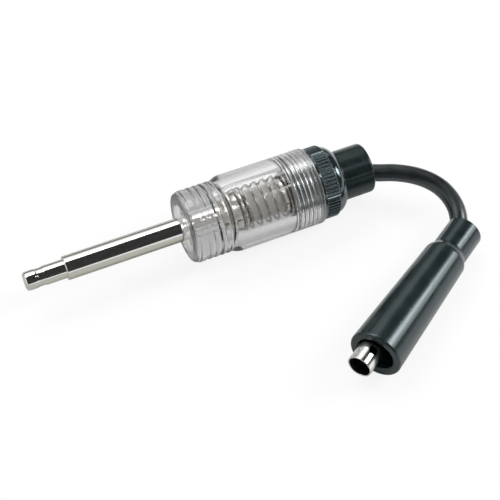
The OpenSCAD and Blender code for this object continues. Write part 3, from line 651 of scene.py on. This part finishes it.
def makeCap():
    # spigot, seal groove, collar, ribs, dome, bore and counterbore, as one closed profile
    p = capPlan
    capX, collarR = rimX + p["gap"], housingR - p["inset"]
    knurlX, endX = capX + p["collar"], capX + p["length"]
    knurlEnd = knurlX + p["knurl"]
    ribR = collarR - p["ribDrop"]
    valleyR = ribR - p["ribDepth"]
    domeX, domeR = knurlEnd + p["domeX"], valleyR - p["domeDrop"]
    counterEnd, spigotX, sealX = seatX + p["counterX"], seatX + p["spigotX"], rimX - p["sealX"]
    rootR = threadPlan["rootR"]
    # the dome's radius falls to the lip's with a power of the way
    t = np.linspace(0, 1, p["domeSteps"])
    dome = [(x, r, soft) for x, r in zip(domeX + (endX - domeX) * t,
                                         domeR + (p["boreR"] + p["lip"] - domeR) * t ** p["domeBend"])]
    corners = [(spigotX, p["counterR"], fine), (spigotX, rootR, thin), (sealX, rootR, hair),
               (sealX, p["sealR"], hair), (rimX, p["sealR"], hair), (capX, p["sealR"] + p["sealLip"], hair),
               (capX, collarR, thin), (knurlX, collarR, thin), (knurlX + p["ribDrop"], ribR, hair),
               (knurlEnd - p["ribSlope"], ribR, fine), (knurlEnd, valleyR, fine), *dome,
               (endX, p["boreR"], fine), (counterEnd, p["boreR"], fine), (counterEnd, p["counterR"], fine)]

    def ribbed(x, r, turn):
        # between the ribs the radius sinks to the valley's, by a cosine, and the spigot gets its helix
        wave = (0.5 - 0.5 * np.cos(p["ribs"] * turn)) ** p["ribPower"]
        band = fade(x, knurlX + hair, endX, p["ribFade"]) * (x < knurlEnd + p["domeFade"])
        sunk = np.maximum(0, r - valleyR) * band
        screw = (np.abs(r - rootR) < threadPlan["near"]) & (x < sealX)
        zone = fade(x, spigotX + p["screwFade"], sealX - fine, p["screwFade"])
        return np.where(screw, threadPlan["depth"] * zone * threadWave(x, turn), 0.0) - sunk * (1 - wave)

    thread = (spigotX + hair, sealX, rootR - hair, rootR + hair)
    band = (knurlX, knurlEnd + fine, domeR - fine, collarR)
    piece = testerPiece("screwCap", corners, p["sides"], steps=p["steps"], swell=ribbed,
                        dense=(p["span"], [thread, band]))
    dress(piece, "capPlastic", "screw_cap", "screw_cap")


makeCap()
print("spring, gland and cap made")

# boot: tapered body with a thick lip, a shoulder and a sleeve that flares inside for the lead
bootShape = {"body": 46.0, "shoulderR": 7.15, "shoulderRound": 0.9, "neck": 2.0, "sleeveR": 6.0,
             "cavityR": 6.05, "cavity": 40.0, "cavityRound": 0.8, "neckR": 3.25, "bell": 8.0, "rim": 0.5,
             "lipFlat": 0.5, "lipDrop": 0.3, "lipX": 0.55, "line": 0.05, "lineWidth": 0.3, "lineAngle": 5,
             "lineS": 2.0, "lineDepth": 0.2, "sides": 256, "steps": 7}


def makeBoot():
    # lip, tapered body, shoulder, sleeve, bell, neck and cavity, as one closed profile
    p, length, mouthR = bootShape, bootPlan["length"], bootPlan["mouthR"]
    corners = [(0.0, p["cavityR"] + p["lipFlat"], soft), (0.0, mouthR - p["lipDrop"], full),
               (bootPlan["lipRound"], mouthR, edge), (p["body"], p["shoulderR"], p["shoulderRound"]),
               (p["body"] + p["neck"], p["sleeveR"], p["shoulderRound"]), (length, p["sleeveR"], soft),
               *bellCurve(length - p["bell"], p["neckR"], length, p["sleeveR"] - p["rim"]),
               (p["cavity"] + p["cavityR"] - p["neckR"], p["neckR"], full),
               (p["cavity"], p["cavityR"], p["cavityRound"]), (p["lipX"], p["cavityR"], soft)]
    ridge = mouldLine(p["line"], p["lineWidth"], p["sleeveR"] - p["lineDepth"], p["lineAngle"], p["lineS"])
    piece = bootPiece("rubberBoot", corners, p["sides"], steps=p["steps"], swell=ridge)
    return dress(piece, "bootRubber", "boot", "boot")


boot = makeBoot()

# plug socket: a thin tube with a round hole in its side, closed by its tail
# the last three numbers pick the faces of the bore that get the dark finish painting shade in the hole
socketPlan = {"boreR": 3.6, "wall": 0.45, "out": 7.0, "bottomS": 8.0, "tailS": 9.0, "tailR": 2.95,
              "tailEndS": 13.0, "coreR": 1.0, "coreS": 11.0, "mouthRound": 0.18, "sides": 96, "sharp": 35,
              "holeS": -1.6, "holeR": 1.5, "holeTurn": 23.0, "holePast": 2, "holeSides": 48,
              "paintedShadeR": 0.03, "paintedShadeFrom": 0.3, "paintedShadeTo": 0.1}


def makeSocket():
    # bore, mouth, wall, tail and core hole as one profile, less a round hole
    p = socketPlan
    outR = p["boreR"] + p["wall"]
    tube = bootPiece("plugSocket", [
        (p["bottomS"], 0, 0), (p["bottomS"], p["boreR"], soft), (-p["out"], p["boreR"], p["mouthRound"]),
        (-p["out"], outR, small), (p["tailS"], outR, soft), (p["tailS"], p["tailR"], small),
        (p["tailEndS"], p["tailR"], fine), (p["tailEndS"], p["coreR"], fine), (p["coreS"], p["coreR"], fine),
        (p["coreS"], 0, 0)], p["sides"], closed=False, left=leanLeft, up=leanUp)
    # the hole's cutter stands on the tube's line and leans to the right
    turn, top = math.radians(p["holeTurn"]), outR + p["holePast"]
    stem = spun(np.array([[0, 0], [0, p["holeR"]], [top, p["holeR"]], [top, 0]], float), p["holeSides"])
    lift, across, along = np.moveaxis(stem, -1, 0)
    drillPoints = bootPoints(p["holeS"] - along, leanLeft - math.sin(turn) * lift + math.cos(turn) * across,
                             leanUp + math.cos(turn) * lift + math.sin(turn) * across)
    drill = putMesh("holeCutter", drillPoints.reshape(-1, 3), gridFaces(len(stem), p["holeSides"], False))
    cut = tube.modifiers.new("sideHole", "BOOLEAN")
    cut.operation, cut.solver, cut.object = "DIFFERENCE", "EXACT", drill
    bpy.context.view_layer.update()
    drilled = bpy.data.meshes.new_from_object(tube.evaluated_get(bpy.context.evaluated_depsgraph_get()))
    tube.modifiers.clear()
    tube.data = drilled
    bpy.data.objects.remove(drill)
    smoothFaces(drilled, p["sharp"])
    dress(tube, "socketPlate", "tester", "socket")
    # faces of the bore get a dark, dull finish, a painted shade inside the hole: those whose middles lie
    # near its radius and in front of its bottom
    drilled.materials.append(looks["socketBoreShade"])
    middles = np.empty(3 * len(drilled.polygons), np.float32)
    drilled.polygons.foreach_get("center", middles)
    inner = middles.reshape(-1, 3) / mm - bootPoints(np.array(0.0), leanLeft, leanUp)
    s = inner @ bootAxis
    away = np.linalg.norm(inner - s[:, None] * bootAxis, axis=1)
    inBore = (s < p["bottomS"] + p["paintedShadeTo"]) & (s > p["paintedShadeFrom"] - p["out"])
    dullOrPaintedDark = inBore & (away < p["boreR"] + p["paintedShadeR"])
    drilled.polygons.foreach_set("material_index", dullOrPaintedDark.astype(np.int32))
    return tube


plugSocket = makeSocket()

# CAD nodes that keep their shape and get a finish
keptNodes = {"rod_washer": "nickel", "rod_nut": "nickel", "front_electrode": "steel",
             "back_electrode": "steel", "contact_disc": "brass", "contact_screw": "brass",
             "thrust_washer": "nickel", "sealing_ring": "sealRubber", "lead_core": "copper",
             "crimp_ferrule": "nickel"}
for nodeName, look in keptNodes.items():
    kept = frame["nodes"][nodeName]
    kept.data.materials.clear()
    kept.data.materials.append(looks[look])
print("boot made, CAD nodes finished")

# floor, cards and lights: in mirrors the floor has a painted shade on the left and is bright on the lamps'
# side; the cards paint dark reflections, and glow where seen through the clear plastic
white = (1.0, 1.0, 1.0)
stagePlan = {"floorSize": 6.0, "floorZ": -5e-5, "floorTone": (0.86, 0.86, 0.86), "mirrorSpan": (0.0, 0.06),
             "mirrorShadeTones": ((0.47, 0.475, 0.43), white), "rough": 0.9, "worldLight": 0.6, "cardGlow": 0.62,
             "glowTone": (1.0, 0.99, 0.97), "cardTint": (1.0, 1.06, 1.02), "cardRows": 21,
             "floorShares": {"Is Camera Ray": 0.85, "Is Transmission Ray": 0.45},
             "skyShares": {"Is Camera Ray": 1.0, "Is Glossy Ray": 1.0, "Is Transmission Ray": 1.0},
             "cardShares": {"Is Transmission Ray": 1.0}}


def seenDirectly(nodes, links, shares):
    # largest of the shares whose kind of ray this is, 0 for other rays
    path = nodes.new("ShaderNodeLightPath")
    best = None
    for kind, share in shares.items():
        weighed = nodes.new("ShaderNodeMath")
        weighed.operation = "MULTIPLY"
        weighed.inputs[1].default_value = share
        links.new(path.outputs[kind], weighed.inputs[0])
        if best is None:
            best = weighed.outputs[0]
            continue
        larger = nodes.new("ShaderNodeMath")
        larger.operation = "MAXIMUM"
        links.new(best, larger.inputs[0])
        links.new(weighed.outputs[0], larger.inputs[1])
        best = larger.outputs[0]
    return best


def mixByRay(nodes, links, shares, usual, direct, target):
    # the usual shader, or the direct one by the shares of the ray's kind
    mix = nodes.new("ShaderNodeMixShader")
    links.new(seenDirectly(nodes, links, shares), mix.inputs["Fac"])
    links.new(usual, mix.inputs[1])
    links.new(direct, mix.inputs[2])
    links.new(mix.outputs["Shader"], target.inputs["Surface"])


def makeFloor():
    # a pale square, whose tone in mirrors goes over from a painted shade on the left to white on the right
    p = stagePlan
    half, z = p["floorSize"] / 2, p["floorZ"]
    corners = [(-half, -half, z), (half, -half, z), (half, half, z), (-half, half, z)]
    mesh = bpy.data.meshes.new("paleFloor")
    mesh.from_pydata(corners, [], [(0, 1, 2, 3)])
    floor = bpy.data.objects.new("paleFloor", mesh)
    scene.collection.objects.link(floor)
    material, nodes, links, shader = newFinish("paleFloor")
    shader.inputs["Roughness"].default_value = p["rough"]
    place = nodes.new("ShaderNodeTexCoord")
    split = nodes.new("ShaderNodeSeparateXYZ")
    links.new(place.outputs["Object"], split.inputs["Vector"])
    # painted shade: seen in mirrors, the floor is darker on the left, near the object, and white on the
    # right
    side = nodes.new("ShaderNodeMapRange")
    side.inputs["From Min"].default_value, side.inputs["From Max"].default_value = p["mirrorSpan"]
    links.new(split.outputs["X"], side.inputs["Value"])
    mirror = nodes.new("ShaderNodeValToRGB")
    for stop, shade in zip(mirror.color_ramp.elements, p["mirrorShadeTones"]):
        stop.color = tone(shade)
    links.new(side.outputs["Result"], mirror.inputs["Fac"])
    glance = nodes.new("ShaderNodeLightPath")
    shade = nodes.new("ShaderNodeMix")
    shade.data_type = "RGBA"
    shade.inputs["A"].default_value = tone(p["floorTone"])
    links.new(mirror.outputs["Color"], shade.inputs["B"])
    links.new(glance.outputs["Is Glossy Ray"], shade.inputs["Factor"])
    links.new(shade.outputs["Result"], shader.inputs["Base Color"])
    plain = nodes.new("ShaderNodeEmission")
    mixByRay(nodes, links, p["floorShares"], shader.outputs["BSDF"], plain.outputs["Emission"],
             nodes["Material Output"])
    mesh.materials.append(material)


def makeWorld():
    # a soft white sky for light, and a full white one where it is seen
    world = bpy.data.worlds.new("studio")
    scene.world = world
    world.use_nodes = True
    nodes, links = world.node_tree.nodes, world.node_tree.links
    light = nodes["Background"]
    light.inputs["Color"].default_value = tone(white)
    light.inputs["Strength"].default_value = stagePlan["worldLight"]
    plain = nodes.new("ShaderNodeBackground")
    plain.inputs["Color"].default_value = tone(white)
    mixByRay(nodes, links, stagePlan["skyShares"], light.outputs["Background"], plain.outputs["Background"],
             nodes["World Output"])


cards = [
    # cards out of the picture, dark sheets seen only in mirrors, which paint the dark reflections that give
    # plated metal and black rubber their stripes: each is bent round a level line through the object, facing
    # heading degrees from -Y to +X, between two elevations
    {"name": "frontCard", "heading": 0, "reach": 1.7, "half": 1.8, "low": 11, "high": 112, "tone": 0.045},
    {"name": "sideCard", "heading": 90, "reach": 1.9, "half": 1.6, "low": 9, "high": 62, "tone": 0.03},
    {"name": "backCard", "heading": 180, "reach": 1.8, "half": 2.2, "low": 0.5, "high": 24, "tone": 0.30},
]


def makeCards():
    # rows of points at equal steps of elevation, half a width to either side
    rows = stagePlan["cardRows"]
    for plan in cards:
        turn = math.radians(plan["heading"])
        out = np.array([math.sin(turn), -math.cos(turn), 0])
        along = np.array([math.cos(turn), math.sin(turn), 0])
        lift = np.radians(np.linspace(plan["low"], plan["high"], rows))[:, None]
        middle = plan["reach"] * (np.cos(lift) * out + np.sin(lift) * [0, 0, 1])
        points = np.concatenate([middle - plan["half"] * along, middle + plan["half"] * along])
        row = np.arange(rows - 1)
        faces = np.stack([row, row + 1, row + rows + 1, row + rows], -1)
        mesh = bpy.data.meshes.new(plan["name"])
        mesh.from_pydata(points.tolist(), [], faces.tolist())
        mesh.materials.append(cardFinish(plan["name"], plan["tone"]))
        card = bpy.data.objects.new(plan["name"], mesh)
        # the card is seen only in mirrors and through the clear plastic, and casts no shadow
        card.visible_camera = False
        card.visible_shadow = False
        card.visible_diffuse = False
        scene.collection.objects.link(card)


def cardFinish(name, shade):
    # a plain dark tone, a painted dark reflection in mirrors, but for rays that come out of the clear
    # plastic a soft glow, a painted light
    p = stagePlan
    material, nodes, links, shader = newFinish(name)
    shader.inputs["Base Color"].default_value = tone([shade * share for share in p["cardTint"]])
    shader.inputs["Roughness"].default_value = p["rough"]
    # painted light: a glow on a card that is no lamp, seen only through the clear plastic
    glow = nodes.new("ShaderNodeEmission")
    glow.inputs["Color"].default_value = tone(p["glowTone"])
    glow.inputs["Strength"].default_value = p["cardGlow"]
    mixByRay(nodes, links, p["cardShares"], shader.outputs["BSDF"], glow.outputs["Emission"],
             nodes["Material Output"])
    return material


lampAim = np.array([0.02, -0.02, 0.0])
lamps = [
    # area lamps aimed at the object: place, size and power
    {"name": "backLamp", "place": (-0.10, 0.50, 0.90), "size": (0.9, 0.5), "power": 5.0},
    {"name": "sideLamp", "place": (0.80, -0.13, 0.41), "size": (0.30, 0.30), "power": 1.5},
    {"name": "keyLamp", "place": (0.69, -0.17, 0.58), "size": (0.26, 0.26), "power": 2.6},
    {"name": "overLamp", "place": (0.36, -0.31, 0.92), "size": (0.13, 0.13), "power": 0.38},
]


def makeLamps():
    # tilt and yaw turn each lamp's face to the aim
    for plan in lamps:
        data = bpy.data.lights.new(plan["name"], "AREA")
        data.shape = "RECTANGLE"
        data.size, data.size_y = plan["size"]
        data.energy = plan["power"]
        lamp = bpy.data.objects.new(plan["name"], data)
        lamp.location = plan["place"]
        back = np.array(plan["place"]) - lampAim
        yaw = math.atan2(back[0], -back[1])
        tilt = math.acos(back[2] / np.linalg.norm(back))
        lamp.rotation_euler = (tilt, 0.0, yaw)
        scene.collection.objects.link(lamp)


makeFloor()
makeWorld()
makeCards()
makeLamps()
scene.view_settings.view_transform = "Standard"
print("stage set")
